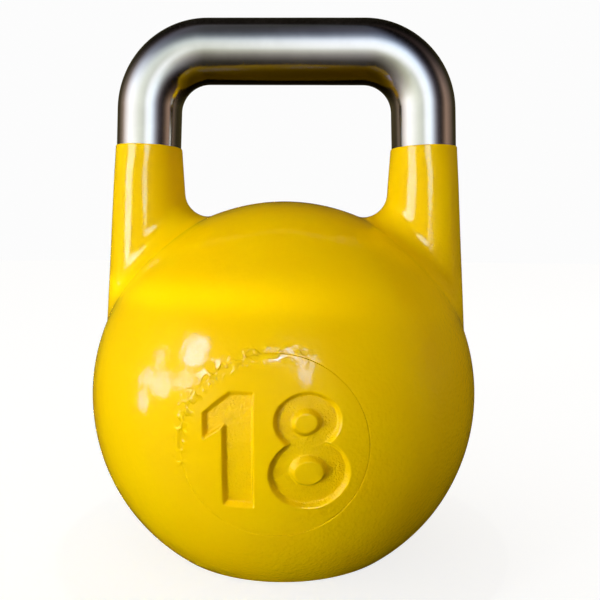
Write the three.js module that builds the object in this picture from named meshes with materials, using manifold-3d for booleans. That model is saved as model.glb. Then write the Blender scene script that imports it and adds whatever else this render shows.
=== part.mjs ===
// A competition kettlebell: a hollow cast bell with two horns, a bent steel bar welded across them,
// a number disc in each core window, a screwed plug in the base and bonded ballast inside.
//
// Units are millimetres and +Z is up. The bell stands on z = 0 with its ball centred over the origin.
// The front, with the number the user reads, faces -Y.

import * as THREE from 'three';
import { mergeVertices } from 'three/addons/utils/BufferGeometryUtils.js';
import Module from 'manifold-3d';

const wasm = await Module();
wasm.setup();

// ---------- Driving dimensions ----------

const GAP = 0.3; // left between pieces that touch

const BALL_RADIUS = 105;
const BASE_RADIUS = 62; // the flat that the bell stands on
const WALL = 15;
const BASE_WALL = 15;

const BAR_RADIUS = 17.5;
const BAR_AXIS_ABOVE_BALL = 186.5;
const BEND_RADIUS = 33; // centreline of the two bends
const LEG_SPLAY = THREE.MathUtils.degToRad(2); // each leg leans out as it goes down

const HORN_OFFSET = 76; // horn axis from the middle plane
const HORN_TOP_ABOVE_BALL = 134.5; // where the bare bar ends
const HORN_TOP_RADIUS = 18.1;
const HORN_TAPER = 0.06; // radius gained per millimetre down
const HORN_FOOT_ABOVE_BALL = 12; // a horn ends here, wholly inside the ball

const SPIGOT_RADIUS = 11;
const SPIGOT_LENGTH = 22;
const WELD_HEIGHT = 4;
const WELD_DEPTH = 3.5;

const DISC_RADIUS = 41.5;
const DISC_BACK = 89; // back face of a disc from the ball's centre
const DISC_DROP = THREE.MathUtils.degToRad(3.6); // the discs look slightly down
const WINDOW_RADIUS = 33;
const NUMBER_DEPTH = 3;

const PLUG_RADIUS = 21;
const PLUG_FLANGE_RADIUS = 28;
const PLUG_FLANGE_HEIGHT = 4;
const PLUG_RECESS = 0.8; // flange face above the floor
const PLUG_SOCKET = 14; // across the flats
const SEAL_THICKNESS = 1.5;

const BALLAST_HEIGHT = 13.9;
const BALLAST_CLEARANCE = 1.2; // from the cavity's round side, which is faceted

const BALL_SEGMENTS = 48;
const CAVITY_SEGMENTS = 32;
const ROUND_SEGMENTS = 28;
const TURNED_SEGMENTS = 40;
const BAR_STEPS = 42;
const DOME_STEPS = 5;

// ---------- Dimensions worked out from them ----------

const BALL_CENTRE_HEIGHT = Math.sqrt(BALL_RADIUS ** 2 - BASE_RADIUS ** 2);
const CAVITY_RADIUS = BALL_RADIUS - WALL;
const BEND_HEIGHT = BAR_AXIS_ABOVE_BALL - BEND_RADIUS; // height of the bends' centres above the ball's
const LEG_DROP = BEND_HEIGHT + BEND_RADIUS * Math.sin(LEG_SPLAY) - HORN_TOP_ABOVE_BALL;
const LEG_LENGTH = LEG_DROP / Math.cos(LEG_SPLAY);
const BEND_OFFSET = HORN_OFFSET - LEG_LENGTH * Math.sin(LEG_SPLAY) - BEND_RADIUS * Math.cos(LEG_SPLAY);
const SEAL_TOP = PLUG_RECESS + PLUG_FLANGE_HEIGHT + GAP + SEAL_THICKNESS;
const COUNTERBORE_DEPTH = SEAL_TOP + GAP;

// ---------- Helpers ----------

// The joined, closed solid of a geometry.
function solidOf(geometry) {
  geometry.deleteAttribute('normal');
  geometry.deleteAttribute('uv');
  const merged = mergeVertices(geometry, 1e-4);
  const mesh = new wasm.Mesh({
    numProp: 3,
    vertProperties: merged.attributes.position.array,
    triVerts: new Uint32Array(merged.index.array),
  });
  return new wasm.Manifold(mesh);
}

function geometryOf(solid) {
  const mesh = solid.getMesh();
  const geometry = new THREE.BufferGeometry();
  geometry.setAttribute('position', new THREE.BufferAttribute(mesh.vertProperties, 3));
  geometry.setIndex(new THREE.BufferAttribute(mesh.triVerts, 1));
  geometry.computeVertexNormals();
  return geometry;
}

// A solid turned about Z from [radius, height] points that run upwards on the outside.
function turned(points, segments = TURNED_SEGMENTS) {
  const profile = points.map(([radius, height]) => new THREE.Vector2(radius, height));
  return new THREE.LatheGeometry(profile, segments).rotateX(Math.PI / 2);
}

function cylinder(radius, low, high, segments = TURNED_SEGMENTS) {
  return turned([[0, low], [radius, low], [radius, high], [0, high]], segments);
}

function ring(inner, outer, low, high, segments = ROUND_SEGMENTS) {
  return turned([[inner, low], [outer, low], [outer, high], [inner, high], [inner, low]], segments);
}

function ball(radius, segments) {
  return new THREE.SphereGeometry(radius, segments, segments / 2).rotateX(Math.PI / 2);
}

// [radius, height] points along a circle about the ball's centre, from one radius to another.
function arcPoints(circleRadius, from, to) {
  const points = [];
  for (let step = 0; step <= DOME_STEPS; step += 1) {
    const radius = from + ((to - from) * step) / DOME_STEPS;
    points.push([radius, Math.sqrt(circleRadius ** 2 - radius ** 2)]);
  }
  return points;
}

function mesh(name, geometry, color, roughness, metalness) {
  const material = new THREE.MeshStandardMaterial({ color, roughness, metalness });
  const piece = new THREE.Mesh(geometry, material);
  piece.name = name;
  return piece;
}

const PAINT = [0xf0c400, 0.22, 0];
const BARE_STEEL = [0xb9b6b0, 0.28, 1];
const DARK_STEEL = [0x6d6a66, 0.45, 1];
const BLACK_RUBBER = [0x1c1c1c, 0.8, 0];
const BONDED_SHOT = [0x54514d, 0.75, 0.6];

// ---------- Frames ----------

// A leg's frame: its origin is the end of the bare bar, and +Z runs up the leg. Side is -1 or +1.
function legMatrix(side) {
  const turn = new THREE.Matrix4().makeRotationY(-side * LEG_SPLAY);
  return turn.setPosition(side * HORN_OFFSET, 0, HORN_TOP_ABOVE_BALL);
}

// A disc's frame: its origin is the ball's centre, and +Z runs out through the disc. Side is -1 for
// the front and +1 for the rear, and +Y stays up, so a number reads the right way from either side.
function discRotation(side) {
  const outward = new THREE.Vector3(0, side * Math.cos(DISC_DROP), -Math.sin(DISC_DROP));
  const right = new THREE.Vector3(-side, 0, 0);
  const up = new THREE.Vector3().crossVectors(outward, right);
  return new THREE.Matrix4().makeBasis(right, up, outward);
}

// ---------- Handle: the bent bar, relieved for its welds, with a locating spigot on each end ----------

// A point on a bend's centreline, where angle is 90 degrees at the top and LEG_SPLAY at the leg.
function bendPoint(side, angle, target = new THREE.Vector3()) {
  return target.set(
    side * (BEND_OFFSET + BEND_RADIUS * Math.cos(angle)),
    0,
    BEND_HEIGHT + BEND_RADIUS * Math.sin(angle),
  );
}

class Bend extends THREE.Curve {
  constructor(side, fromAngle, toAngle) {
    super();
    this.side = side;
    this.fromAngle = fromAngle;
    this.toAngle = toAngle;
  }

  getPoint(t, target) {
    return bendPoint(this.side, THREE.MathUtils.lerp(this.fromAngle, this.toAngle, t), target);
  }
}

// Up the left leg, over the top and down the right leg. The welds lie round the lowest few millimetres.
function barCentreline() {
  const legEnd = (side) => new THREE.Vector3(0, 0, -WELD_HEIGHT).applyMatrix4(legMatrix(side));
  const top = Math.PI / 2;
  const path = new THREE.CurvePath();
  path.add(new THREE.LineCurve3(legEnd(-1), bendPoint(-1, LEG_SPLAY)));
  path.add(new Bend(-1, LEG_SPLAY, top));
  path.add(new THREE.LineCurve3(bendPoint(-1, top), bendPoint(1, top)));
  path.add(new Bend(1, top, LEG_SPLAY));
  path.add(new THREE.LineCurve3(bendPoint(1, LEG_SPLAY), legEnd(1)));
  return path;
}

function handleBar() {
  const section = new THREE.Shape().absarc(0, 0, BAR_RADIUS, 0, 2 * Math.PI);
  const tube = new THREE.ExtrudeGeometry(section, {
    extrudePath: barCentreline(),
    steps: BAR_STEPS,
    curveSegments: ROUND_SEGMENTS / 2,
    bevelEnabled: false,
  });
  let bar = solidOf(tube);
  for (const side of [-1, 1]) {
    const frame = legMatrix(side);
    const relief = ring(BAR_RADIUS - WELD_DEPTH, BAR_RADIUS + 5, -WELD_HEIGHT - 2, GAP);
    const spigot = cylinder(SPIGOT_RADIUS, -WELD_HEIGHT - SPIGOT_LENGTH, 0, ROUND_SEGMENTS);
    bar = bar.subtract(solidOf(relief.applyMatrix4(frame)));
    bar = bar.add(solidOf(spigot.applyMatrix4(frame)));
  }
  return geometryOf(bar);
}

// The weld that fills the groove between a leg and its horn.
function weldRing() {
  return ring(
    BAR_RADIUS - WELD_DEPTH + GAP,
    HORN_TOP_RADIUS,
    -WELD_HEIGHT + GAP,
    0,
  );
}

// ---------- Bell body: ball, base and horns in one casting ----------

function horn(side) {
  const footRadius = HORN_TOP_RADIUS + HORN_TAPER * (HORN_TOP_ABOVE_BALL - HORN_FOOT_ABOVE_BALL);
  const cone = turned([[0, HORN_FOOT_ABOVE_BALL], [footRadius, HORN_FOOT_ABOVE_BALL],
    [HORN_TOP_RADIUS, HORN_TOP_ABOVE_BALL], [0, HORN_TOP_ABOVE_BALL]], ROUND_SEGMENTS);
  return solidOf(cone.translate(side * HORN_OFFSET, 0, 0));
}

// Everything below a height.
function slabBelow(height) {
  const side = 3 * BALL_RADIUS;
  return solidOf(new THREE.BoxGeometry(side, side, side).translate(0, 0, height - side / 2));
}

function bellBody() {
  const floor = -BALL_CENTRE_HEIGHT;
  const innerFloor = floor + BASE_WALL;
  const cavity = solidOf(ball(CAVITY_RADIUS, CAVITY_SEGMENTS)).subtract(slabBelow(innerFloor));
  let body = solidOf(ball(BALL_RADIUS, BALL_SEGMENTS));
  body = body.add(horn(-1)).add(horn(1));
  body = body.subtract(slabBelow(floor)).subtract(cavity);

  for (const side of [-1, 1]) {
    const frame = legMatrix(side);
    const above = cylinder(3 * BAR_RADIUS, -WELD_HEIGHT, 2 * BAR_RADIUS, ROUND_SEGMENTS);
    const socket = cylinder(
      SPIGOT_RADIUS + GAP,
      -WELD_HEIGHT - SPIGOT_LENGTH - GAP,
      0,
      ROUND_SEGMENTS,
    );
    body = body.subtract(solidOf(above.applyMatrix4(frame)));
    body = body.subtract(solidOf(socket.applyMatrix4(frame)));
  }

  for (const side of [-1, 1]) {
    const frame = discRotation(side);
    const seat = cylinder(DISC_RADIUS, DISC_BACK - GAP, BALL_RADIUS + 5);
    const window = cylinder(WINDOW_RADIUS, CAVITY_RADIUS / 2, BALL_RADIUS);
    body = body.subtract(solidOf(seat.applyMatrix4(frame)));
    body = body.subtract(solidOf(window.applyMatrix4(frame)));
  }

  const plugHole = cylinder(PLUG_RADIUS + GAP, floor - 1, innerFloor + 1);
  const counterbore = cylinder(PLUG_FLANGE_RADIUS + GAP, floor - 1, floor + COUNTERBORE_DEPTH);
  body = body.subtract(solidOf(plugHole)).subtract(solidOf(counterbore));
  return geometryOf(body);
}

// ---------- Number discs ----------

// An ellipse as an upright cutter, in a disc's frame.
function ovalCutter(centre, radii) {
  const oval = cylinder(1, DISC_BACK, BALL_RADIUS + 5, ROUND_SEGMENTS);
  oval.scale(radii[0], radii[1], 1);
  return solidOf(oval.translate(centre[0], centre[1], 0));
}

function numeralOne() {
  const outline = new THREE.Shape();
  outline.moveTo(-8.9, 25.3);
  outline.lineTo(-19.8, 25.3);
  outline.lineTo(-31.4, 15.5);
  outline.lineTo(-31, 4);
  outline.lineTo(-22.4, 10.2);
  outline.lineTo(-22.4, -26.3);
  outline.lineTo(-8.9, -26.3);
  outline.closePath();
  const depth = BALL_RADIUS - DISC_BACK + 5;
  const block = new THREE.ExtrudeGeometry(outline, { depth, bevelEnabled: false });
  return solidOf(block.translate(0, 0, DISC_BACK));
}

function numeralEight() {
  return ovalCutter([14.4, 13.1], [14.5, 12.4])
    .add(ovalCutter([15.2, -10.3], [17.6, 16.1]))
    .subtract(ovalCutter([13.9, 12.7], [6.2, 5.3]))
    .subtract(ovalCutter([15.1, -9.3], [7.8, 6.9]));
}

// A domed plate that carries on the ball's surface, with the numerals sunk to an even depth.
function numberDisc() {
  const edge = DISC_RADIUS - GAP;
  const plate = turned([[0, DISC_BACK], [edge, DISC_BACK], ...arcPoints(BALL_RADIUS, edge, 0)]);
  const floorRadius = BALL_RADIUS - NUMBER_DEPTH;
  const aboveFloor = turned([...arcPoints(floorRadius, 0, edge), [edge, BALL_RADIUS + 5],
    [0, BALL_RADIUS + 5]]);
  const numerals = numeralOne().add(numeralEight()).intersect(solidOf(aboveFloor));
  return geometryOf(solidOf(plate).subtract(numerals));
}

// ---------- Base plug, seal and ballast, in the floor's frame ----------

function basePlug() {
  const flangeTop = PLUG_RECESS + PLUG_FLANGE_HEIGHT;
  const plug = turned([[0, PLUG_RECESS], [PLUG_FLANGE_RADIUS, PLUG_RECESS],
    [PLUG_FLANGE_RADIUS, flangeTop], [PLUG_RADIUS, flangeTop], [PLUG_RADIUS, BASE_WALL], [0, BASE_WALL]]);
  const socketRadius = PLUG_SOCKET / Math.sqrt(3);
  const socket = cylinder(socketRadius, 0, BASE_WALL * 0.6, 6);
  return geometryOf(solidOf(plug).subtract(solidOf(socket)));
}

function plugSeal() {
  return ring(PLUG_RADIUS + GAP, PLUG_FLANGE_RADIUS, SEAL_TOP - SEAL_THICKNESS, SEAL_TOP);
}

// Shot poured level on the cavity's floor, against the cavity's round side.
function ballastFill() {
  const low = BASE_WALL + GAP;
  const side = [];
  for (let step = 0; step <= DOME_STEPS; step += 1) {
    const height = low + (BALLAST_HEIGHT * step) / DOME_STEPS;
    const drop = BALL_CENTRE_HEIGHT - height;
    side.push([Math.sqrt((CAVITY_RADIUS - BALLAST_CLEARANCE) ** 2 - drop ** 2), height]);
  }
  return turned([[0, low], ...side, [0, low + BALLAST_HEIGHT]]);
}

// ---------- Assembly ----------

const kettlebell = new THREE.Group();

const ballFrame = new THREE.Group();
ballFrame.position.z = BALL_CENTRE_HEIGHT;
kettlebell.add(ballFrame);

ballFrame.add(mesh('bell_body', bellBody(), ...PAINT));
ballFrame.add(mesh('handle_bar', handleBar(), ...BARE_STEEL));

for (const [name, side] of [['left_handle_weld', -1], ['right_handle_weld', 1]]) {
  const weld = mesh(name, weldRing(), ...PAINT);
  weld.applyMatrix4(legMatrix(side));
  ballFrame.add(weld);
}

for (const [name, side] of [['front_number_disc', -1], ['rear_number_disc', 1]]) {
  const disc = mesh(name, numberDisc(), ...PAINT);
  disc.applyMatrix4(discRotation(side));
  ballFrame.add(disc);
}

kettlebell.add(mesh('base_plug', basePlug(), ...DARK_STEEL));
kettlebell.add(mesh('plug_seal', plugSeal(), ...BLACK_RUBBER));
kettlebell.add(mesh('ballast_fill', ballastFill(), ...BONDED_SHOT));

export default kettlebell;
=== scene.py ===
"""A hollow competition kettlebell: gloss yellow paint over a cast bell, a bare satin-steel bar, a weight
number sunk into a disc on each face and a screwed plug in the base.

Lengths are in metres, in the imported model's own frame: +Z is up and the number faces -Y.
"""
import math

import bmesh
import bpy
import numpy as np
from mathutils import Matrix, Vector, noise


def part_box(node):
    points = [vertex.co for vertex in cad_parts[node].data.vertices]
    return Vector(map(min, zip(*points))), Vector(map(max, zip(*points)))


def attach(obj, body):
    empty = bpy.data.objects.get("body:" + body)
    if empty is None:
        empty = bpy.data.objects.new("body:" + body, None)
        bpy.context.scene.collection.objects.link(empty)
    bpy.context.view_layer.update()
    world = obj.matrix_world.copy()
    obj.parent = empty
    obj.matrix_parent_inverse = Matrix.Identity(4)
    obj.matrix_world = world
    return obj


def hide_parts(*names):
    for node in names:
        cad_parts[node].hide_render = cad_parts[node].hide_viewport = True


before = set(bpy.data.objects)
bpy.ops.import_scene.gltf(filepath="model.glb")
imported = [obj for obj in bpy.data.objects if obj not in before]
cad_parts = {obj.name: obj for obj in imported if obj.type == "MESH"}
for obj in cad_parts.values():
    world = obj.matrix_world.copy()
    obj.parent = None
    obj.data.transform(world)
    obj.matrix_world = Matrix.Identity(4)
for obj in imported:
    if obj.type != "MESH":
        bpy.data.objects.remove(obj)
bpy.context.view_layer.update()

MM = 0.001

# ---------- Sizes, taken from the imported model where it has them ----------

BODY_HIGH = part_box("bell_body")[1]
BAR_LOW, BAR_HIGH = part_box("handle_bar")
WELD_LOW, WELD_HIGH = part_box("right_handle_weld")

BALL_RADIUS = BODY_HIGH.x
BASE_RADIUS = 62 * MM
BALL_CENTRE = Vector((0, 0, math.sqrt(BALL_RADIUS ** 2 - BASE_RADIUS ** 2)))

BAR_RADIUS = (BAR_HIGH.y - BAR_LOW.y) / 2
BAR_AXIS_HEIGHT = BAR_HIGH.z - BAR_RADIUS
BEND_RADIUS = 33 * MM
LEG_SPLAY = math.radians(2)

HORN_OFFSET = 76 * MM
HORN_TOP = BALL_CENTRE.z + 134.5 * MM
HORN_TOP_RADIUS = (WELD_HIGH.y - WELD_LOW.y) / 2
HORN_TAPER = 0.06
HORN_FULLNESS = 1.85 * MM
HORN_FOOT = BALL_CENTRE.z + 12 * MM

DISC_RADIUS = 41.5 * MM
DISC_DROP = math.radians(3.6)
DISC_BACK = 89 * MM
NUMBER_DEPTH = 3.0 * MM
WALL_RUN = 0.95 * MM
EDGE_SOFTNESS = 0.24 * MM

PLUG_LOW, PLUG_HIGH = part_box("base_plug")
PLUG_RADIUS = PLUG_HIGH.x
PLUG_FACE = PLUG_LOW.z
COUNTERBORE_RADIUS = PLUG_RADIUS + 0.3 * MM
COUNTERBORE_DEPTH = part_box("plug_seal")[1].z + 0.3 * MM

SKIN_STEP = 1.7 * MM


# ---------- Mesh helpers ----------

def mesh_object(name, vertices, faces):
    mesh = bpy.data.meshes.new(name)
    mesh.from_pydata([tuple(v) for v in vertices], [], [tuple(f) for f in faces])
    mesh.validate()
    return finished_object(name, mesh)


def finished_object(name, mesh):
    mesh.polygons.foreach_set("use_smooth", [True] * len(mesh.polygons))
    mesh.set_sharp_from_angle(angle=math.radians(50))
    mesh.update()
    obj = bpy.data.objects.new(name, mesh)
    bpy.context.scene.collection.objects.link(obj)
    return obj


def smoothstep(x):
    x = np.clip(x, 0, 1)
    return x * x * (3 - 2 * x)


def noise_at(points, wavelength, seed):
    """Smooth noise from about -1 to 1 at each point, with features one wavelength across."""
    shift = Vector((seed * 17.3, seed * 5.1, seed * 11.7))
    return np.array([noise.noise(Vector(p) / wavelength + shift) for p in points])


def bezier(start, corner, end, steps):
    """Points along a quadratic curve, without its first one."""
    out = []
    for step in range(1, steps + 1):
        t = step / steps
        out.append(tuple(
            (1 - t) ** 2 * a + 2 * t * (1 - t) * b + t ** 2 * c for a, b, c in zip(start, corner, end)
        ))
    return out


# ---------- Bell skin: one smooth surface through ball and horns ----------

def horn_and_ball(points):
    """Distances from the ball and from the nearer horn, the cosine between their normals, and how far a
    point lies to the horn's inner side, from -1 to 1."""
    p = points - np.array(BALL_CENTRE)
    reach = np.linalg.norm(p, axis=1)
    ball = reach - BALL_RADIUS
    ball_normal = p / np.maximum(reach, 1e-9)[:, None]

    side = np.where(points[:, 0] < 0, -1.0, 1.0)
    slope = math.cos(math.atan(HORN_TAPER))
    radius = HORN_TOP_RADIUS + HORN_TAPER * (HORN_TOP - points[:, 2])
    below_top = smoothstep((HORN_TOP - 1 * MM - points[:, 2]) / (18 * MM))
    fuller = HORN_FULLNESS * below_top * np.minimum((points[:, 1] / radius) ** 2, 1)
    across = np.stack([points[:, 0] - side * (HORN_OFFSET + fuller), points[:, 1]], axis=1)
    out = np.linalg.norm(across, axis=1)
    horn = np.maximum((out - radius) * slope, HORN_FOOT - points[:, 2])
    flat = across / np.maximum(out, 1e-9)[:, None]
    horn_normal = np.column_stack([flat * slope, np.full(len(points), HORN_TAPER * slope)])
    inward = -side * flat[:, 0]
    return ball, horn, np.einsum("ij,ij->i", ball_normal, horn_normal), inward


def skin_distance(points):
    """Distance from the bell's surface: ball and horns joined by a rolling fillet, which is widest on the
    horns' inner sides and smallest on their outer sides."""
    ball, horn, cosine, inward = horn_and_ball(points)
    cosine = np.clip(cosine, -0.9, 0.995)
    fillet = (8.5 + 4 * smoothstep((inward + 0.9) / 1.6)) * MM
    a, b = ball - fillet, horn - fillet
    spread = np.sqrt(np.maximum(a * a + b * b - 2 * cosine * a * b, 0) / (1 - cosine ** 2))
    in_fillet = (a <= cosine * b) & (b <= cosine * a)
    return np.where(in_fillet, fillet - spread, np.minimum(ball, horn))


def skin_gradient(points):
    step = 0.02 * MM
    return np.stack([
        (skin_distance(points + step * axis) - skin_distance(points - step * axis)) / (2 * step)
        for axis in np.eye(3)
    ], axis=1)


def onto_skin(points, rounds=6):
    """Moves points along the surface's gradient until they lie on it."""
    for _ in range(rounds):
        gradient = skin_gradient(points)
        size = np.maximum((gradient ** 2).sum(1), 0.25)
        points = points - (skin_distance(points) / size)[:, None] * gradient
    return points


def clear_of_rims(points):
    """1 on open skin, falling to 0 where the discs, the base and the horn tops are cut."""
    weight = smoothstep((points[:, 2] - 3 * MM) / (8 * MM))
    weight *= smoothstep((HORN_TOP - 2 * MM - points[:, 2]) / (10 * MM))
    p = points - np.array(BALL_CENTRE)
    for side in (-1, 1):
        right, up, out = (np.array(axis) for axis in disc_axes(side))
        radius = np.hypot(p @ right, p @ up)
        beyond = smoothstep((radius - DISC_RADIUS - 4 * MM) / (6 * MM))
        weight = np.where(p @ out > 0, weight * beyond, weight)
    return weight


def evened(points, edges, rounds):
    """Slides points towards the middle of their neighbours, staying on the skin."""
    count = np.zeros(len(points))
    np.add.at(count, edges[:, 0], 1)
    np.add.at(count, edges[:, 1], 1)
    for _ in range(rounds):
        total = np.zeros_like(points)
        np.add.at(total, edges[:, 0], points[edges[:, 1]])
        np.add.at(total, edges[:, 1], points[edges[:, 0]])
        points = onto_skin(0.5 * points + 0.5 * total / count[:, None], rounds=2)
    return points


def rough_blank():
    """Ball and horns as overlapping closed shapes, merged into one even grid by a voxel remesh."""
    bm = bmesh.new()
    bmesh.ops.create_uvsphere(bm, u_segments=96, v_segments=48, radius=BALL_RADIUS,
                              matrix=Matrix.Translation(BALL_CENTRE))
    top = HORN_TOP + 6 * MM
    for side in (-1, 1):
        centre = Vector((side * HORN_OFFSET, 0, (BALL_CENTRE.z + top) / 2))
        low_radius = HORN_TOP_RADIUS + HORN_TAPER * (HORN_TOP - BALL_CENTRE.z)
        bmesh.ops.create_cone(bm, cap_ends=True, segments=64, radius1=low_radius, radius2=HORN_TOP_RADIUS,
                              depth=top - BALL_CENTRE.z, matrix=Matrix.Translation(centre))
    mesh = bpy.data.meshes.new("blank")
    bm.to_mesh(mesh)
    bm.free()
    obj = bpy.data.objects.new("blank", mesh)
    bpy.context.scene.collection.objects.link(obj)
    remesh = obj.modifiers.new("even_grid", "REMESH")
    remesh.mode = "VOXEL"
    remesh.voxel_size = SKIN_STEP
    graph = bpy.context.evaluated_depsgraph_get()
    even = bpy.data.meshes.new_from_object(obj.evaluated_get(graph))
    bpy.data.objects.remove(obj)
    bpy.data.meshes.remove(mesh)
    return even


def cut_open(bm, centre, direction, side=0):
    """Cuts away what lies beyond a plane, and returns the edge loop's vertices. A side of -1 or +1
    keeps the cut to that side's horn."""
    faces = [f for f in bm.faces if side * f.calc_center_median().x >= abs(side) * 20 * MM]
    edges = {edge for face in faces for edge in face.edges}
    verts = {vertex for face in faces for vertex in face.verts}
    geometry = list(verts) + list(edges) + faces
    cut = bmesh.ops.bisect_plane(bm, geom=geometry, dist=1e-7, plane_co=centre, plane_no=direction,
                                 clear_outer=True)
    return [item for item in cut["geom_cut"] if isinstance(item, bmesh.types.BMVert)]


def turned_rim(bm, loop, origin, axes, profile_at):
    """Carries an open loop on through rings, and closes the last one with a fan. The profile at an angle
    is a list of (radius, height along the third axis)."""
    right, up, out = axes

    def angle_of(vertex):
        arm = vertex.co - origin
        return math.atan2(arm.dot(up), arm.dot(right))

    ring = sorted(loop, key=angle_of)
    angles = [angle_of(v) for v in ring]
    profiles = [profile_at(angle) for angle in angles]
    for step in range(len(profiles[0])):
        new_ring = []
        for angle, profile in zip(angles, profiles):
            radius, height = profile[step]
            arm = right * (radius * math.cos(angle)) + up * (radius * math.sin(angle))
            new_ring.append(bm.verts.new(origin + arm + out * height))
        for i, vertex in enumerate(ring):
            j = (i + 1) % len(ring)
            bm.faces.new((vertex, ring[j], new_ring[j], new_ring[i]))
        ring = new_ring
    middle = bm.verts.new(origin + out * profiles[0][-1][1])
    for i, vertex in enumerate(ring):
        bm.faces.new((vertex, ring[(i + 1) % len(ring)], middle))


def disc_axes(side):
    """Right, up and outward directions of a number disc: side is -1 at the front and +1 at the rear."""
    out = Vector((0, side * math.cos(DISC_DROP), -math.sin(DISC_DROP)))
    right = Vector((-side, 0, 0))
    return right, out.cross(right), out


def leg_axes(side):
    up_leg = Vector((-side * math.sin(LEG_SPLAY), 0, math.cos(LEG_SPLAY)))
    depth = Vector((0, 1, 0))
    return depth.cross(up_leg), depth, up_leg


def dome_height(radius):
    """How far the ball's surface lies along a disc's axis, at a radius from that axis."""
    return math.sqrt(BALL_RADIUS ** 2 - radius ** 2)


def seam_depth(angle):
    """The seam round a disc is open on its right and nearly filled with paint on its left."""
    return (0.28 + 0.2 * math.cos(angle + 0.5) + 0.02 * math.sin(5 * angle)) * MM


def seat_profile(angle):
    """From the ball's surface over a soft lip, down the seam and across the disc's seat."""
    lip = 0.2 * MM + seam_depth(angle)
    seat_floor = DISC_BACK - 0.3 * MM
    start = (DISC_RADIUS + lip, dome_height(DISC_RADIUS + lip))
    corner = (DISC_RADIUS, dome_height(DISC_RADIUS))
    low = (DISC_RADIUS, dome_height(DISC_RADIUS) - seam_depth(angle))
    beside = [DISC_RADIUS + out for out in (2.6 * MM, 1.8 * MM, 1.2 * MM)]
    on_ball = [(radius, dome_height(radius)) for radius in beside]
    seat = [(DISC_RADIUS, seat_floor), (30 * MM, seat_floor)]
    return on_ball + [start] + bezier(start, corner, low, 5) + seat


def seam_nearness(points):
    """How much spattered paint lies by the seam round either disc: most of it is at the upper left."""
    p = points - np.array(BALL_CENTRE)
    nearness = np.zeros(len(points))
    for side in (-1, 1):
        right, up, out = (np.array(axis) for axis in disc_axes(side))
        off = np.hypot(p @ right, p @ up) - DISC_RADIUS
        spattered = smoothstep(0.6 - p @ right / DISC_RADIUS) * smoothstep(0.7 + p @ up / DISC_RADIUS)
        nearness += np.where(p @ out > 0, np.exp(-(off / (3 * MM)) ** 2) * spattered, 0)
    return nearness


def add_value(obj, name, values):
    attribute = obj.data.attributes.new(name, "FLOAT", "POINT")
    attribute.data.foreach_set("value", np.asarray(values, dtype=np.float32))


def corners_of(obj):
    points = np.zeros(len(obj.data.vertices) * 3)
    obj.data.vertices.foreach_get("co", points)
    return points.reshape(-1, 3)


def bell_skin():
    mesh = rough_blank()
    count = len(mesh.vertices)
    points = np.zeros(count * 3)
    mesh.vertices.foreach_get("co", points)
    edges = np.zeros(len(mesh.edges) * 2, dtype=np.int64)
    mesh.edges.foreach_get("vertices", edges)
    points = evened(onto_skin(points.reshape(-1, 3)), edges.reshape(-1, 2), rounds=6)
    waves = 0.1 * MM * noise_at(points, 34 * MM, 1) + 0.018 * MM * noise_at(points, 9 * MM, 2)
    points += skin_gradient(points) * (waves * clear_of_rims(points))[:, None]
    mesh.vertices.foreach_set("co", points.ravel())
    bm = bmesh.new()
    bm.from_mesh(mesh)
    bpy.data.meshes.remove(mesh)
    bmesh.ops.recalc_face_normals(bm, faces=bm.faces)

    for side in (-1, 1):
        axes = disc_axes(side)
        cut_radius = DISC_RADIUS + 3.6 * MM
        loop = cut_open(bm, BALL_CENTRE + axes[2] * dome_height(cut_radius), axes[2])
        turned_rim(bm, loop, BALL_CENTRE, axes, seat_profile)

    base_edge = 2.4 * MM
    down = Vector((0, 0, -1))
    axes = (Vector((1, 0, 0)), Vector((0, -1, 0)), down)
    loop = cut_open(bm, Vector((0, 0, base_edge)), down)
    outer = (math.sqrt(BALL_RADIUS ** 2 - (BALL_CENTRE.z - base_edge) ** 2), -base_edge)
    bore_lip = COUNTERBORE_RADIUS + 0.8 * MM
    profile = bezier(outer, (BASE_RADIUS + 0.4 * MM, 0), (BASE_RADIUS - 2.4 * MM, 0), 7)
    profile += [(BASE_RADIUS - 6 * MM, 0), (45 * MM, 0), (36 * MM, 0), (bore_lip, 0)]
    profile += bezier(profile[-1], (COUNTERBORE_RADIUS, 0), (COUNTERBORE_RADIUS, -0.8 * MM), 3)
    profile += [(COUNTERBORE_RADIUS, -COUNTERBORE_DEPTH), (20 * MM, -COUNTERBORE_DEPTH)]
    turned_rim(bm, loop, Vector((0, 0, 0)), axes, lambda angle: profile)

    for side in (-1, 1):
        axes = leg_axes(side)
        top = Vector((side * HORN_OFFSET, 0, HORN_TOP))
        loop = cut_open(bm, top - axes[2] * 1.2 * MM, axes[2], side)

        def paint_edge(angle, side=side):
            """The horn's top rounded over on to the bar, along a slightly wandering paint line."""
            wander = 0.15 * MM * noise.noise(Vector((3 * math.cos(angle), 3 * math.sin(angle), side)))
            start = (HORN_TOP_RADIUS + 0.03 * MM, -0.7 * MM + wander)
            soft = bezier(start, (HORN_TOP_RADIUS, wander), (BAR_RADIUS + 0.03 * MM, wander), 5)
            return [start] + soft + [(BAR_RADIUS + 0.03 * MM, -3 * MM), (BAR_RADIUS - 6 * MM, -3 * MM)]

        turned_rim(bm, loop, top, axes, paint_edge)

    bmesh.ops.recalc_face_normals(bm, faces=bm.faces)
    mesh = bpy.data.meshes.new("bell_skin")
    bm.to_mesh(mesh)
    bm.free()
    skin = finished_object("bell_skin", mesh)
    add_value(skin, "seam", seam_nearness(corners_of(skin)))
    add_value(skin, "recess", np.zeros(len(mesh.vertices)))
    return skin


# ---------- Number discs: the numerals are cut into a height field over the dome ----------

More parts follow.
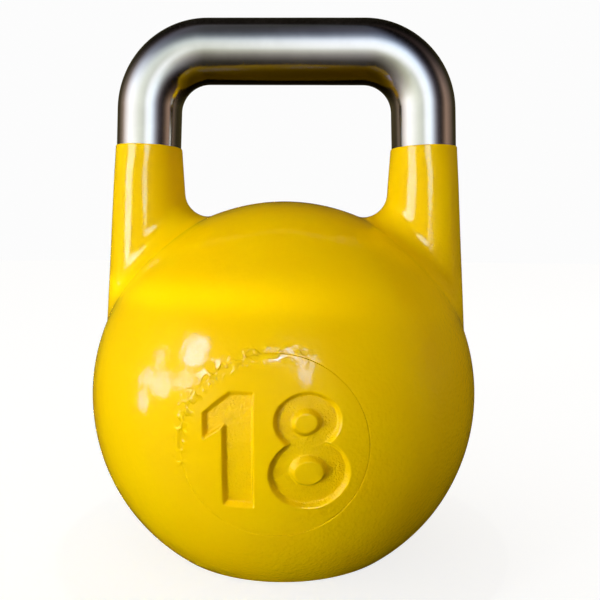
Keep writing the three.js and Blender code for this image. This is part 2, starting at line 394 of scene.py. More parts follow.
def polygon_distance(x, y, corners):
    """Distance to a polygon's outline, above 0 inside it."""
    nearest = np.full(x.shape, 1e9)
    inside = np.zeros(x.shape, dtype=bool)
    for (ax, ay), (bx, by) in zip(corners, corners[1:] + corners[:1]):
        ex, ey = bx - ax, by - ay
        t = np.clip(((x - ax) * ex + (y - ay) * ey) / (ex * ex + ey * ey), 0, 1)
        nearest = np.minimum(nearest, np.hypot(x - ax - t * ex, y - ay - t * ey))
        if ay != by:
            crosses = ((ay > y) != (by > y)) & (x < ex * (y - ay) / ey + ax)
            inside ^= crosses
    return np.where(inside, nearest, -nearest)


def oval_distance(x, y, centre, radii):
    """Close to the distance from an oval's outline, above 0 inside it."""
    u, v = (x - centre[0]) / radii[0], (y - centre[1]) / radii[1]
    reach = np.maximum(np.hypot(u, v), 1e-6)
    steepness = np.maximum(np.hypot(u / radii[0], v / radii[1]), 1e-9)
    return reach * (1 - reach) / steepness


def one_distance(x, y):
    """The figure's outline, in millimetres from the middle of the disc."""
    corners = [(-8.9, 25.3), (-19.8, 25.3), (-31.4, 15.5), (-31, 4), (-22.4, 10.2), (-22.4, -26.3),
               (-8.9, -26.3)]
    return polygon_distance(x, y, corners)


def eight_distance(x, y):
    """The figure's two lobes, less its two islands, whose walls slope more. Also in millimetres."""
    lobes = np.maximum(oval_distance(x, y, (14.4, 13.1), (14.5, 12.4)),
                       oval_distance(x, y, (15.2, -10.3), (17.6, 16.2)))
    islands = np.maximum(oval_distance(x, y, (13.9, 12.7), (4.7, 4.0)),
                         oval_distance(x, y, (15.0, -9.4), (6.2, 5.3)))
    return np.minimum(lobes, -0.45 * islands)


def blurred(field, spread, step):
    """The field smoothed by a bell curve of that spread."""
    reach = int(math.ceil(3 * spread / step))
    weights = np.exp(-0.5 * (np.arange(-reach, reach + 1) * step / spread) ** 2)
    weights /= weights.sum()
    for axis in (0, 1):
        field = sum(w * np.roll(field, shift, axis) for w, shift in zip(weights, range(-reach, reach + 1)))
    return field


def numeral_sink(x, y):
    """How deep the surface is sunk at a disc's points, from 0 on the face to 1 on a numeral's floor."""
    step = 0.2 * MM
    half = DISC_RADIUS + 1 * MM
    line = np.arange(-half, half + step, step)
    grid_x, grid_y = np.meshgrid(line, line)
    inside = np.maximum(one_distance(grid_x / MM, grid_y / MM), eight_distance(grid_x / MM, grid_y / MM)) * MM
    sink = blurred(np.clip(inside / WALL_RUN, 0, 1), EDGE_SOFTNESS, step)
    column, row = (x + half) / step, (y + half) / step
    left, low = column.astype(int), row.astype(int)
    across, rise = column - left, row - low
    bottom = sink[low, left] * (1 - across) + sink[low, left + 1] * across
    top = sink[low + 1, left] * (1 - across) + sink[low + 1, left + 1] * across
    return bottom * (1 - rise) + top * rise


def number_disc(name, side):
    """A domed plate on a square grid drawn out to a circle, with a rounded rim, a skirt and a flat back."""
    cells = 240
    face_radius = DISC_RADIUS - 0.75 * MM
    line = np.linspace(-1, 1, cells + 1)
    across, up = np.meshgrid(line, line)
    x = (face_radius * across * np.sqrt(1 - up ** 2 / 2)).ravel()
    y = (face_radius * up * np.sqrt(1 - across ** 2 / 2)).ravel()
    sink = numeral_sink(x, y)
    flat = np.column_stack([x, y, np.sqrt(BALL_RADIUS ** 2 - x ** 2 - y ** 2)])
    edge_fade = smoothstep((face_radius - np.hypot(x, y)) / (3 * MM))
    grain = 0.07 * MM * noise_at(flat, 1.3 * MM, 3 + side) * sink
    swell = 0.04 * MM * noise_at(flat, 14 * MM, 5 + side) * (1 - sink)
    lift = edge_fade * (grain + swell) - NUMBER_DEPTH * sink
    points = flat * (1 + lift / BALL_RADIUS)[:, None]

    def at(row, column):
        return row * (cells + 1) + column

    faces = [(at(r, c), at(r, c + 1), at(r + 1, c + 1), at(r + 1, c))
             for r in range(cells) for c in range(cells)]
    ring = [at(0, c) for c in range(cells)] + [at(r, cells) for r in range(cells)]
    ring += [at(cells, c) for c in range(cells, 0, -1)] + [at(r, 0) for r in range(cells, 0, -1)]
    angles = [math.atan2(y[i], x[i]) for i in ring]

    rim_radius = DISC_RADIUS - 0.06 * MM

    def rim_profile(angle):
        bevel = 0.15 * MM + seam_depth(angle)
        start = (DISC_RADIUS - bevel, dome_height(DISC_RADIUS - bevel))
        corner = (rim_radius, dome_height(rim_radius))
        low = (rim_radius, dome_height(rim_radius) - seam_depth(angle))
        skirt = [(rim_radius, DISC_BACK + 0.3 * MM), (rim_radius - 0.8 * MM, DISC_BACK), (20 * MM, DISC_BACK)]
        return [start] + bezier(start, corner, low, 4) + skirt

    vertices = [tuple(p) for p in points]
    sinks = list(sink)
    profiles = [rim_profile(a) for a in angles]
    for step in range(len(profiles[0])):
        first = len(vertices)
        vertices += [(profile[step][0] * math.cos(a), profile[step][0] * math.sin(a), profile[step][1])
                     for a, profile in zip(angles, profiles)]
        sinks += [0] * len(angles)
        for i in range(len(ring)):
            j = (i + 1) % len(ring)
            faces.append((ring[j], ring[i], first + i, first + j))
        ring = list(range(first, first + len(angles)))
    vertices.append((0, 0, DISC_BACK))
    sinks.append(0)
    middle = len(vertices) - 1
    faces += [(ring[(i + 1) % len(ring)], ring[i], middle) for i in range(len(ring))]

    right, up_axis, out = disc_axes(side)
    place = Matrix((right, up_axis, out)).transposed().to_4x4()
    place.translation = BALL_CENTRE
    disc = mesh_object(name, vertices, faces)
    disc.data.transform(place)
    add_value(disc, "recess", sinks)
    add_value(disc, "seam", seam_nearness(corners_of(disc)))
    return disc


# ---------- Handle: a round bar swept up one leg, over the top and down the other ----------

def handle_route():
    """Points along the bar's centreline with the direction at each, from the right leg to the left."""
    bend_height = BAR_AXIS_HEIGHT - BEND_RADIUS
    leg_drop = bend_height + BEND_RADIUS * math.sin(LEG_SPLAY) - HORN_TOP
    leg_length = leg_drop / math.cos(LEG_SPLAY)
    bend_offset = HORN_OFFSET - leg_length * math.sin(LEG_SPLAY) - BEND_RADIUS * math.cos(LEG_SPLAY)
    step = 1.2 * MM
    end_depth = 2.6 * MM

    half = []
    up_leg = Vector((-math.sin(LEG_SPLAY), 0, math.cos(LEG_SPLAY)))
    foot = Vector((HORN_OFFSET, 0, HORN_TOP)) - up_leg * end_depth
    leg_steps = round((leg_length + end_depth) / step)
    for i in range(leg_steps):
        half.append((foot + up_leg * ((leg_length + end_depth) * i / leg_steps), up_leg))
    turn = math.pi / 2 - LEG_SPLAY
    bend_steps = round(BEND_RADIUS * turn / step)
    for i in range(bend_steps):
        angle = LEG_SPLAY + turn * i / bend_steps
        arm = Vector((math.cos(angle), 0, math.sin(angle)))
        heading = Vector((-math.sin(angle), 0, math.cos(angle)))
        half.append((Vector((bend_offset, 0, bend_height)) + arm * BEND_RADIUS, heading))
    top_steps = round(bend_offset / step)
    for i in range(top_steps + 1):
        half.append((Vector((bend_offset * (1 - i / top_steps), 0, BAR_AXIS_HEIGHT)), Vector((-1, 0, 0))))

    left = [(Vector((-p.x, 0, p.z)), Vector((d.x, 0, -d.z))) for p, d in reversed(half[:-1])]
    return [(p, d) for p, d in half] + left


def handle_bar():
    segments = 96
    route = handle_route()
    spin = [2 * math.pi * i / segments for i in range(segments)]
    vertices, place, rings = [], [], []
    travel = 0
    previous = route[0][0]
    for point, heading in route:
        travel += (point - previous).length
        previous = point
        outward = Vector((heading.z, 0, -heading.x))
        rings.append(len(vertices))
        for angle in spin:
            arm = outward * math.cos(angle) + Vector((0, 1, 0)) * math.sin(angle)
            wave = 0.035 * MM * noise.noise((point + arm * BAR_RADIUS) / (22 * MM))
            vertices.append(point + arm * (BAR_RADIUS + wave))
            place.append((BAR_RADIUS * math.cos(angle), BAR_RADIUS * math.sin(angle), travel))
    faces = []
    for low, high in zip(rings, rings[1:]):
        for i in range(segments):
            j = (i + 1) % segments
            faces.append((low + i, low + j, high + j, high + i))

    inset = 1.2 * MM
    for ring, (point, heading), away in ((rings[0], route[0], -1), (rings[-1], route[-1], 1)):
        first = len(vertices)
        for i in range(segments):
            inward = (point - vertices[ring + i]).normalized() * inset
            vertices.append(vertices[ring + i] + inward + heading * (away * 0.3 * MM))
            place.append(place[ring + i])
        vertices.append(point + heading * (away * 0.3 * MM))
        place.append((0, 0, place[ring][2]))
        middle = len(vertices) - 1
        for i in range(segments):
            j = (i + 1) % segments
            side = (ring + i, ring + j, first + j, first + i)
            cap = (first + i, first + j, middle)
            faces.append(side if away > 0 else side[::-1])
            faces.append(cap if away > 0 else cap[::-1])
    bar = mesh_object("handle_steel", vertices, faces)
    attribute = bar.data.attributes.new("bar_place", "FLOAT_VECTOR", "POINT")
    attribute.data.foreach_set("vector", np.array(place, dtype=np.float32).ravel())
    return bar


# ---------- Base plug ----------

def plug_detail():
    """A turned flange with a broken edge, a shallow groove and a hex socket."""
    segments = 96
    spin = [2 * math.pi * i / segments for i in range(segments)]
    socket_flat = 7 * MM
    socket_depth = 8.2 * MM
    face = PLUG_FACE
    top = PLUG_HIGH.z
    thread_radius = 21 * MM
    flange_top = face + 4 * MM

    def hexed(angle, radius_on_flat):
        sixth = math.pi / 3
        offset = (angle % sixth) - sixth / 2
        return radius_on_flat / math.cos(offset)

    def circle(radius, height):
        return [(radius * math.cos(a), radius * math.sin(a), height) for a in spin]

    def hexagon(flat, height):
        return [(hexed(a, flat) * math.cos(a), hexed(a, flat) * math.sin(a), height) for a in spin]

    rings = [
        hexagon(socket_flat, face + socket_depth),
        hexagon(socket_flat, face + 0.5 * MM),
        hexagon(socket_flat + 0.25 * MM, face + 0.12 * MM),
        hexagon(socket_flat + 0.7 * MM, face),
        circle(11 * MM, face),
        circle(12.5 * MM, face + 0.02 * MM),
        circle(12.8 * MM, face + 0.5 * MM),
        circle(14.2 * MM, face + 0.5 * MM),
        circle(14.5 * MM, face + 0.02 * MM),
        circle(16 * MM, face),
        circle(22 * MM, face),
        circle(PLUG_RADIUS - 1.2 * MM, face),
        circle(PLUG_RADIUS - 0.5 * MM, face + 0.12 * MM),
        circle(PLUG_RADIUS - 0.12 * MM, face + 0.5 * MM),
        circle(PLUG_RADIUS, face + 1.2 * MM),
        circle(PLUG_RADIUS, flange_top),
        circle(thread_radius, flange_top),
        circle(thread_radius, top - 1 * MM),
        circle(thread_radius - 1 * MM, top),
    ]
    vertices = [(0, 0, face + socket_depth)] + [v for ring in rings for v in ring] + [(0, 0, top)]
    starts = [1 + k * segments for k in range(len(rings))]
    faces = []
    for i in range(segments):
        j = (i + 1) % segments
        faces.append((0, starts[0] + i, starts[0] + j))
        for low, high in zip(starts, starts[1:]):
            faces.append((low + j, low + i, high + i, high + j))
        faces.append((len(vertices) - 1, starts[-1] + j, starts[-1] + i))
    plug = mesh_object("plug_detail", vertices, faces)
    bm = bmesh.new()
    bm.from_mesh(plug.data)
    bmesh.ops.recalc_face_normals(bm, faces=bm.faces)
    bm.to_mesh(plug.data)
    bm.free()
    plug.data.set_sharp_from_angle(angle=math.radians(35))
    return plug


# ---------- Materials ----------

class Nodes:
    """A small helper for building a node tree."""

    def __init__(self, tree):
        self.tree = tree
        tree.nodes.clear()

    def add(self, kind, settings=None, **inputs):
        node = self.tree.nodes.new(kind)
        for name, value in (settings or {}).items():
            setattr(node, name, value)
        for name, value in inputs.items():
            self.feed(node, name.replace("_", " "), value)
        return node

    def feed(self, node, key, value):
        socket = node.inputs[key]
        if isinstance(value, bpy.types.NodeSocket):
            self.tree.links.new(value, socket)
        else:
            socket.default_value = value

    def maths(self, operation, *values, clamp=False):
        node = self.tree.nodes.new("ShaderNodeMath")
        node.operation = operation
        node.use_clamp = clamp
        for index, value in enumerate(values):
            self.feed(node, index, value)
        return node.outputs[0]

    def ranged(self, value, low, high, to_low=0.0, to_high=1.0):
        node = self.add("ShaderNodeMapRange", {"interpolation_type": "SMOOTHSTEP"}, Value=value,
                        From_Min=low, From_Max=high, To_Min=to_low, To_Max=to_high)
        return node.outputs[0]

    def noise(self, place, wavelength, detail=2.0, roughness=0.5):
        """Noise from 0 to 1 with features about one wavelength across, in metres."""
        node = self.add("ShaderNodeTexNoise", None, Vector=place, Scale=1 / wavelength, Detail=detail,
                        Roughness=roughness)
        return node.outputs[0]

    def mixed(self, factor, first, second):
        node = self.add("ShaderNodeMix", {"data_type": "RGBA"}, Factor=factor)
        for socket, value in ((node.inputs[6], first), (node.inputs[7], second)):
            if isinstance(value, bpy.types.NodeSocket):
                self.tree.links.new(value, socket)
            else:
                socket.default_value = value
        return node.outputs[2]

    def layered(self, under, over, share):
        """One shader with a share of another over it."""
        both = self.add("ShaderNodeMixShader", None, Fac=share)
        self.tree.links.new(under.outputs[0], both.inputs[1])
        self.tree.links.new(over.outputs[0], both.inputs[2])
        return both

    def bump(self, height, distance, normal=None):
        node = self.add("ShaderNodeBump", None, Height=height, Distance=distance, Strength=1.0)
        if normal is not None:
            self.tree.links.new(normal, node.inputs["Normal"])
        return node.outputs[0]


def new_material(name):
    material = bpy.data.materials.new(name)
    material.use_nodes = True
    return material, Nodes(material.node_tree)


def finish_material(n, shader):
    output = n.add("ShaderNodeOutputMaterial")
    n.tree.links.new(shader.outputs[0], output.inputs["Surface"])


PAINT_SHINE = (1.0, 0.82, 0.2, 1)


def yellow_enamel():
    """Thick gloss paint over a casting: waves, orange peel and a coarser right-hand side, drips by the
    seams, and grit where it is sunk."""
    material, n = new_material("yellow_enamel")
    place = n.add("ShaderNodeTexCoord").outputs["Object"]
    recess = n.add("ShaderNodeAttribute", {"attribute_name": "recess"}).outputs["Fac"]
    seam = n.add("ShaderNodeAttribute", {"attribute_name": "seam"}).outputs["Fac"]

    tone = n.noise(place, 45 * MM, 3.0, 0.55)
    colour = n.mixed(n.ranged(tone, 0.3, 0.7), (0.935, 0.61, 0.0, 1), (0.945, 0.645, 0.0, 1))

    patch = n.noise(place, 24 * MM, 2.0)
    rough_patch = n.ranged(patch, 0.42, 0.58)
    roughness = n.maths("ADD", n.ranged(patch, 0.35, 0.65, 0.08, 0.12), n.maths("MULTIPLY", recess, 0.16))
    across, _, height = n.add("ShaderNodeSeparateXYZ", None, Vector=place).outputs
    off_horns = n.ranged(height, HORN_TOP - 50 * MM, HORN_TOP - 20 * MM, 1.0, 0.15)
    low_right = n.maths("SUBTRACT", across, n.maths("MULTIPLY", height, 0.7))
    coarse = n.ranged(low_right, -65 * MM, 0, 0.1, 1.0)

    waves = n.noise(place, 5 * MM, 2.0)
    pebbles = n.noise(place, 2.2 * MM, 1.0)
    peel = n.noise(place, 1.9 * MM, 1.0)
    drips = n.noise(place, 3.0 * MM, 0.0)
    grit = n.noise(place, 0.85 * MM, 1.0, 0.5)
    wave_share = n.maths("MULTIPLY", off_horns, n.maths("ADD", n.maths("MULTIPLY", rough_patch, 0.75), 0.25))
    normal = n.bump(n.maths("MULTIPLY", waves, wave_share), 0.14 * MM)
    pebble_share = n.maths("MULTIPLY", rough_patch, off_horns)
    normal = n.bump(n.maths("MULTIPLY", pebbles, pebble_share), 0.04 * MM, normal)
    normal = n.bump(n.maths("MULTIPLY", seam, n.ranged(drips, 0.46, 0.68)), 0.52 * MM, normal)
    peel_share = n.maths("MULTIPLY", coarse, off_horns)
    normal = n.bump(n.maths("MULTIPLY", peel, peel_share), 0.4 * MM, normal)
    normal = n.bump(n.maths("MULTIPLY", grit, recess), 0.5 * MM, normal)

    paint = n.add("ShaderNodeBsdfPrincipled", None, Base_Color=colour, Roughness=roughness, Normal=normal)
    paint.inputs["Specular IOR Level"].default_value = 0.1
    paint.inputs["Specular Tint"].default_value = PAINT_SHINE
    gloss = n.add("ShaderNodeBsdfGlossy", None, Color=PAINT_SHINE, Roughness=roughness, Normal=normal)
    mottle = n.noise(place, 2.6 * MM, 3.0)
    on_face = n.ranged(recess, 0.0, 1.0, 1.0, 0.45)
    share = n.maths("MULTIPLY", n.ranged(mottle, 0.3, 0.65, 0.007, 0.015), on_face)
    finish_material(n, n.layered(paint, gloss, share))
    return material


def satin_steel():
    """Polished round the bar: fine streaks across its length, and a painted shade that darkens the bar's
    underside.
    """
    material, n = new_material("satin_steel")
    place = n.add("ShaderNodeAttribute", {"attribute_name": "bar_place"}).outputs["Vector"]
    stretch = n.add("ShaderNodeVectorMath", {"operation": "MULTIPLY"})
    n.tree.links.new(place, stretch.inputs[0])
    stretch.inputs[1].default_value = (0.06, 0.06, 1.0)
    streaks = n.noise(stretch.outputs[0], 0.5 * MM, 3.0, 0.6)
    cloud = n.noise(place, 16 * MM, 3.0)
    facing = n.add("ShaderNodeTexCoord").outputs["Normal"]
    painted_shade_below = n.maths("MULTIPLY", n.add("ShaderNodeSeparateXYZ", None, Vector=facing).outputs[2], -1.0)
    polished = n.mixed(n.ranged(cloud, 0.3, 0.7), (0.59, 0.585, 0.58, 1), (0.65, 0.645, 0.64, 1))
    # Painted shade: the steel's colour goes nearly black where the bar faces down.
    colour = n.mixed(n.ranged(painted_shade_below, 0.1, 0.8), polished, (0.07, 0.065, 0.06, 1))
    roughness = n.maths("ADD", n.ranged(streaks, 0.3, 0.7, 0.12, 0.18), n.ranged(cloud, 0.35, 0.7, 0.0, 0.04))
    normal = n.bump(streaks, 0.0015 * MM)
    shader = n.add("ShaderNodeBsdfPrincipled", None, Base_Color=colour, Roughness=roughness, Normal=normal,
                   Metallic=1.0)
    finish_material(n, shader)
    return material


def turned_steel():
    material, n = new_material("turned_steel")
    place = n.add("ShaderNodeTexCoord").outputs["Object"]
    parts = n.add("ShaderNodeSeparateXYZ", None, Vector=place)
    radius = n.maths("SQRT", n.maths("ADD", n.maths("MULTIPLY", parts.outputs[0], parts.outputs[0]),
                                     n.maths("MULTIPLY", parts.outputs[1], parts.outputs[1])))
    ring_place = n.add("ShaderNodeCombineXYZ", None, X=radius, Y=parts.outputs[2])
    rings = n.noise(ring_place.outputs[0], 0.35 * MM, 2.0)
    stain = n.noise(place, 9 * MM, 4.0, 0.6)
    colour = n.mixed(n.ranged(stain, 0.4, 0.7), (0.3, 0.29, 0.27, 1), (0.16, 0.13, 0.1, 1))
    roughness = n.ranged(stain, 0.35, 0.7, 0.28, 0.5)
    shader = n.add("ShaderNodeBsdfPrincipled", None, Base_Color=colour, Roughness=roughness, Metallic=1.0,
                   Normal=n.bump(rings, 0.02 * MM))
    finish_material(n, shader)
    return material


def seal_rubber():
    material, n = new_material("seal_rubber")
    place = n.add("ShaderNodeTexCoord").outputs["Object"]
    dust = n.noise(place, 3 * MM, 4.0, 0.6)
    colour = n.mixed(n.ranged(dust, 0.45, 0.75), (0.02, 0.02, 0.02, 1), (0.06, 0.055, 0.05, 1))
    roughness = n.ranged(dust, 0.3, 0.7, 0.6, 0.85)
    normal = n.bump(n.noise(place, 0.5 * MM), 0.02 * MM)
    shader = n.add("ShaderNodeBsdfPrincipled", None, Base_Color=colour, Roughness=roughness, Normal=normal)
    finish_material(n, shader)
    return material


def bonded_shot():
    material, n = new_material("bonded_shot")
    place = n.add("ShaderNodeTexCoord").outputs["Object"]
    shot = n.add("ShaderNodeTexVoronoi", None, Vector=place, Scale=1 / (3 * MM)).outputs["Distance"]
    colour = n.mixed(n.ranged(shot, 0.2, 0.6), (0.22, 0.21, 0.2, 1), (0.05, 0.045, 0.04, 1))
    shader = n.add("ShaderNodeBsdfPrincipled", None, Base_Color=colour, Roughness=0.55, Metallic=0.6,
                   Normal=n.bump(n.maths("SUBTRACT", 1.0, shot), 1.0 * MM))
    finish_material(n, shader)
    return material


# ---------- Studio: pale floor, soft light and the camera ----------

def pale_floor():
    bm = bmesh.new()
    bmesh.ops.create_circle(bm, cap_ends=True, segments=96, radius=6)
    mesh = bpy.data.meshes.new("floor")
    bm.to_mesh(mesh)
    bm.free()
    floor = bpy.data.objects.new("floor", mesh)
    floor.location.z = -0.1 * MM
    bpy.context.scene.collection.objects.link(floor)
    material, n = new_material("pale_floor")
    diffuse = n.add("ShaderNodeBsdfDiffuse", None, Color=(0.3, 0.34, 0.37, 1))
    glow = n.add("ShaderNodeEmission", None, Color=(1, 1, 1, 1), Strength=0.8)
    both = n.add("ShaderNodeAddShader")
    n.tree.links.new(diffuse.outputs[0], both.inputs[0])
    n.tree.links.new(glow.outputs[0], both.inputs[1])
    finish_material(n, both)
    floor.data.materials.append(material)
    floor.visible_diffuse = False
    floor.visible_glossy = False
    floor.visible_shadow = False


def studio_surroundings():
    """Pale to the camera, a soft sky to matt surfaces, and a room with windows to shiny ones."""
    world = bpy.data.worlds.new("studio")
    bpy.context.scene.world = world
    world.use_nodes = True
    n = Nodes(world.node_tree)
    direction = n.add("ShaderNodeTexCoord").outputs["Generated"]
    parts = n.add("ShaderNodeSeparateXYZ", None, Vector=direction).outputs
    azimuth = n.maths("DEGREES", n.maths("ARCTAN2", parts[0], n.maths("MULTIPLY", parts[1], -1.0)))
    elevation = n.maths("DEGREES", n.maths("ARCSINE", parts[2]))

    turn = n.add("ShaderNodeValToRGB", None, Fac=n.maths("DIVIDE", n.maths("ADD", azimuth, 180.0), 360.0))
    ramp(turn, [
        (-180, (0.07, 0.055, 0.02)), (-122, (0.07, 0.055, 0.03)), (-97, (0.36, 0.27, 0.2)),
        (-88, (0.85, 0.72, 0.66)), (-74, (1.5, 1.42, 1.4)), (-60, (1.9, 1.9, 1.9)),
        (-42, (1.6, 1.62, 1.55)), (-25, (1.25, 1.3, 1.15)), (-10, (1.0, 1.05, 0.95)),
        (2, (1.6, 1.65, 1.72)), (16, (1.6, 1.78, 1.95)), (25, (1.0, 1.1, 1.28)),
        (34, (0.4, 0.4, 0.46)), (44, (0.1, 0.08, 0.09)), (56, (0.03, 0.025, 0.025)),
        (66, (0.12, 0.08, 0.06)), (80, (0.46, 0.3, 0.22)), (95, (0.3, 0.2, 0.15)),
        (112, (0.12, 0.09, 0.06)), (124, (0.04, 0.032, 0.015)), (180, (0.07, 0.055, 0.02)),
    ], -180, 360)
    rise = n.add("ShaderNodeValToRGB", None, Fac=n.maths("DIVIDE", n.maths("ADD", elevation, 90.0), 180.0))
    ramp(rise, [
        (-90, (0.02, 0.02, 0.02)), (-47, (0.1, 0.085, 0.07)), (-37, (0.2, 0.175, 0.16)),
        (-23, (0.34, 0.31, 0.28)), (-10, (0.6, 0.58, 0.5)), (0, (0.96, 0.96, 0.92)), (12, (1, 1, 1)),
        (23, (0.88, 0.92, 0.98)), (31, (0.56, 0.6, 0.68)), (41, (0.21, 0.23, 0.28)),
        (49, (0.12, 0.13, 0.165)), (58, (0.07, 0.07, 0.09)), (90, (0.03, 0.03, 0.03)),
    ], -90, 180)
    room = n.add("ShaderNodeVectorMath", {"operation": "MULTIPLY"})
    n.tree.links.new(turn.outputs[0], room.inputs[0])
    n.tree.links.new(rise.outputs[0], room.inputs[1])

    low_sky = n.mixed(n.ranged(parts[2], -0.05, 0.05), (0.03, 0.025, 0.02, 1), (0.76, 0.65, 0.56, 1))
    sky = n.mixed(n.ranged(parts[2], 0.6, 0.8), low_sky, (0.88, 0.75, 0.65, 1))
    upper_right = n.maths("MULTIPLY", n.maths("ADD", parts[0], parts[2]), 0.7)
    sky = n.mixed(n.ranged(upper_right, 0.6, 0.95), sky, (0.13, 0.11, 0.1, 1))
    path = n.add("ShaderNodeLightPath").outputs
    lit = n.mixed(path["Is Glossy Ray"], sky, room.outputs[0])
    seen = n.mixed(path["Is Camera Ray"], lit, (0.975, 0.975, 0.975, 1))
    background = n.add("ShaderNodeBackground", None, Color=seen, Strength=1.0)
    output = n.add("ShaderNodeOutputWorld")
    n.tree.links.new(background.outputs[0], output.inputs["Surface"])


def ramp(node, stops, low, span):
    """Sets a colour ramp's stops from values in degrees."""
    elements = node.color_ramp.elements
    while len(elements) > 1:
        elements.remove(elements[-1])
    for index, (value, colour) in enumerate(stops):
        position = (value - low) / span
        element = elements[0] if index == 0 else elements.new(position)
        element.position = position
        element.color = (*colour, 1)


def toward(azimuth, elevation):
    """A direction out from the bell: azimuth 0 is towards -Y and grows towards +X."""
    a, e = math.radians(azimuth), math.radians(elevation)
    return Vector((math.sin(a) * math.cos(e), -math.cos(a) * math.cos(e), math.sin(e)))


def panel_light(name, azimuth, elevation, distance, size, brightness, seen_by, colour=(1, 1, 1)):
    """A soft panel whose face looks this bright, in the same units as the surroundings."""
    data = bpy.data.lights.new(name, "AREA")
    data.shape = "ELLIPSE"
    data.size, data.size_y = size
    data.energy = brightness * size[0] * size[1] * math.pi ** 2 / 4
    data.color = colour
    light = bpy.data.objects.new(name, data)
    direction = toward(azimuth, elevation)
    light.location = BALL_CENTRE + direction * distance
    light.rotation_euler = (-direction).to_track_quat("-Z", "Y").to_euler()
    light.visible_camera = False
    light.visible_glossy = seen_by == "gloss"
    light.visible_diffuse = seen_by == "matt"
    bpy.context.scene.collection.objects.link(light)
    return light


def ring_flag(name, low, high):
    """A band round the bell that nothing sees. It keeps chosen lamps off whatever is behind it."""
    reach = BALL_RADIUS + 20 * MM
    steps = 64
    corners = [(reach * math.cos(2 * math.pi * i / steps), reach * math.sin(2 * math.pi * i / steps),
                BALL_CENTRE.z + height) for height in (low, high) for i in range(steps)]
    faces = [(i, (i + 1) % steps, steps + (i + 1) % steps, steps + i) for i in range(steps)]
    flag = mesh_object(name, corners, faces)
    for seen in ("camera", "diffuse", "glossy", "transmission", "volume_scatter"):
        setattr(flag, "visible_" + seen, False)
    material, n = new_material(name)
    finish_material(n, n.add("ShaderNodeBsdfDiffuse", None, Color=(0, 0, 0, 1)))
    flag.data.materials.append(material)
    flags = bpy.data.collections.new(name)
    flags.objects.link(flag)
    return flags


# Blue lamps: their reflections come out nearly white over the yellow paint.
WINDOW_COLOUR = (0.05, 0.13, 1.0)
STRIP_COLOUR = (0.06, 0.17, 1.0)
LAMP_DISTANCE = 12
PANEL_DISTANCE = 2.2


def lights(painted):
    """Soft light for matt shading, and far lamps that show only as reflections in the paint. A lamp is a
    name, its azimuth and elevation, its width and height as angles, and its brightness."""
    panel_light("key_window", -42, 2, PANEL_DISTANCE, (0.75, 0.75), 22.2, "matt", (1, 1, 0.97))
    panel_light("floor_bounce", -66, -32, PANEL_DISTANCE, (1.5, 1.5), 1.05, "matt", (1, 0.93, 0.8))
    panel_light("side_fill", 98, 5, PANEL_DISTANCE, (1.5, 1.5), 1.7, "matt", (1, 0.93, 0.85))
    ball_lamps = (
        ("round_lamp", -53.6, 25, (15, 18), 108.0),
        ("window_middle", -70.5, 5, (15, 12.5), 52.0),
        ("window_left", -82, 4.5, (9.5, 7.5), 38.0),
        ("window_sill", -82.5, -4.5, (8.5, 9), 34.0),
        ("window_right", -55.5, 9, (14, 9), 55.0),
        ("curtain_gap", -75.6, 15.5, (6, 9), 42.0),
        ("hall_lamp", 13.5, 19.5, (8, 10.5), 85.0),
        ("hall_rail", 7, 27.4, (26, 2), 480.0),
    )
    horn_lamps = (
        ("left_strip", -48, 15, (26, 30), 70.0),
        ("right_strip", 6, 19.5, (20, 21), 68.0),
    )
    flagged = (
        (ball_lamps, WINDOW_COLOUR, ring_flag("upper_flag", 62 * MM, 300 * MM)),
        (horn_lamps, STRIP_COLOUR, ring_flag("lower_flag", -115 * MM, 55 * MM)),
    )
    for lamps, colour, flags in flagged:
        for name, azimuth, elevation, angles, brightness in lamps:
            size = [2 * LAMP_DISTANCE * math.tan(math.radians(angle) / 2) for angle in angles]
            light = panel_light(name, azimuth, elevation, LAMP_DISTANCE, size, brightness, "gloss", colour)
            light.light_linking.receiver_collection = painted
            light.light_linking.blocker_collection = flags


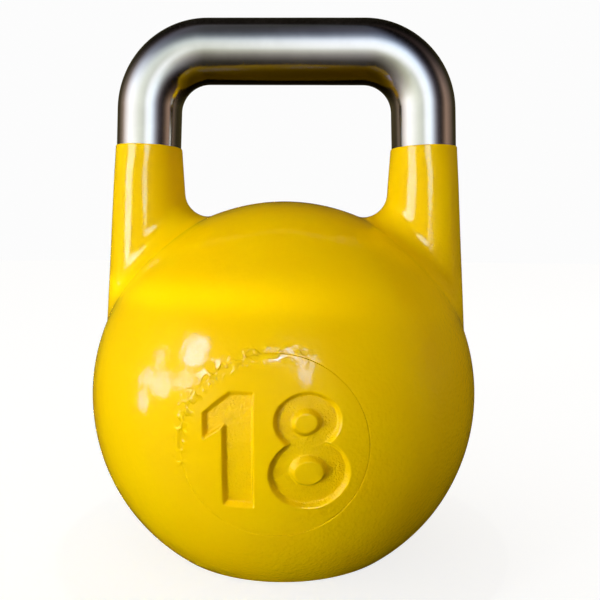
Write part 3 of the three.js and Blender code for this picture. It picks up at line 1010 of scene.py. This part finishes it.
CAMERA_LENS = 42.746
CAMERA_YAW, CAMERA_PITCH, CAMERA_ROLL = (math.radians(turn) for turn in (-1.289, 4.658, 0.378))
CAMERA_PLACE = BALL_CENTRE + Vector((17.4 * MM, -400 * MM, 82.7 * MM))


def camera():
    """The viewpoint in front of the bell, a little above its ball and to its right."""
    data = bpy.data.cameras.new("camera")
    data.sensor_width = 36
    data.lens = CAMERA_LENS
    data.clip_start, data.clip_end = 0.01, 50
    cam = bpy.data.objects.new("camera", data)
    heading = Vector((math.sin(CAMERA_YAW), math.cos(CAMERA_YAW), 0))
    forward = heading * math.cos(CAMERA_PITCH) - Vector((0, 0, math.sin(CAMERA_PITCH)))
    level = Vector((math.cos(CAMERA_YAW), -math.sin(CAMERA_YAW), 0))
    up = level.cross(forward)
    right = level * math.cos(CAMERA_ROLL) + up * math.sin(CAMERA_ROLL)
    top = up * math.cos(CAMERA_ROLL) - level * math.sin(CAMERA_ROLL)
    placed = Matrix((right, top, -forward)).transposed().to_4x4()
    placed.translation = CAMERA_PLACE
    cam.matrix_world = placed
    bpy.context.scene.collection.objects.link(cam)
    bpy.context.scene.camera = cam


# ---------- Assembly ----------

def add_piece(piece, slot, material, *nodes):
    piece.data.materials.clear()
    piece.data.materials.append(material)
    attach(piece, "root")
    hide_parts(*nodes)


enamel = yellow_enamel()
add_piece(bell_skin(), "yellow_paint", enamel, "bell_body", "left_handle_weld", "right_handle_weld")
add_piece(number_disc("front_disc", -1), "yellow_paint", enamel, "front_number_disc")
add_piece(number_disc("rear_disc", 1), "yellow_paint", enamel, "rear_number_disc")
add_piece(handle_bar(), "bare_handle_steel", satin_steel(), "handle_bar")
add_piece(plug_detail(), "plug_steel", turned_steel(), "base_plug")
for node, material in (("plug_seal", seal_rubber()), ("ballast_fill", bonded_shot())):
    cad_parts[node].material_slots[0].material = material

painted = bpy.data.collections.new("painted")
for name in ("bell_skin", "front_disc", "rear_disc"):
    painted.objects.link(bpy.data.objects[name])

pale_floor()
studio_surroundings()
lights(painted)
camera()
bpy.context.scene.view_settings.view_transform = "Standard"
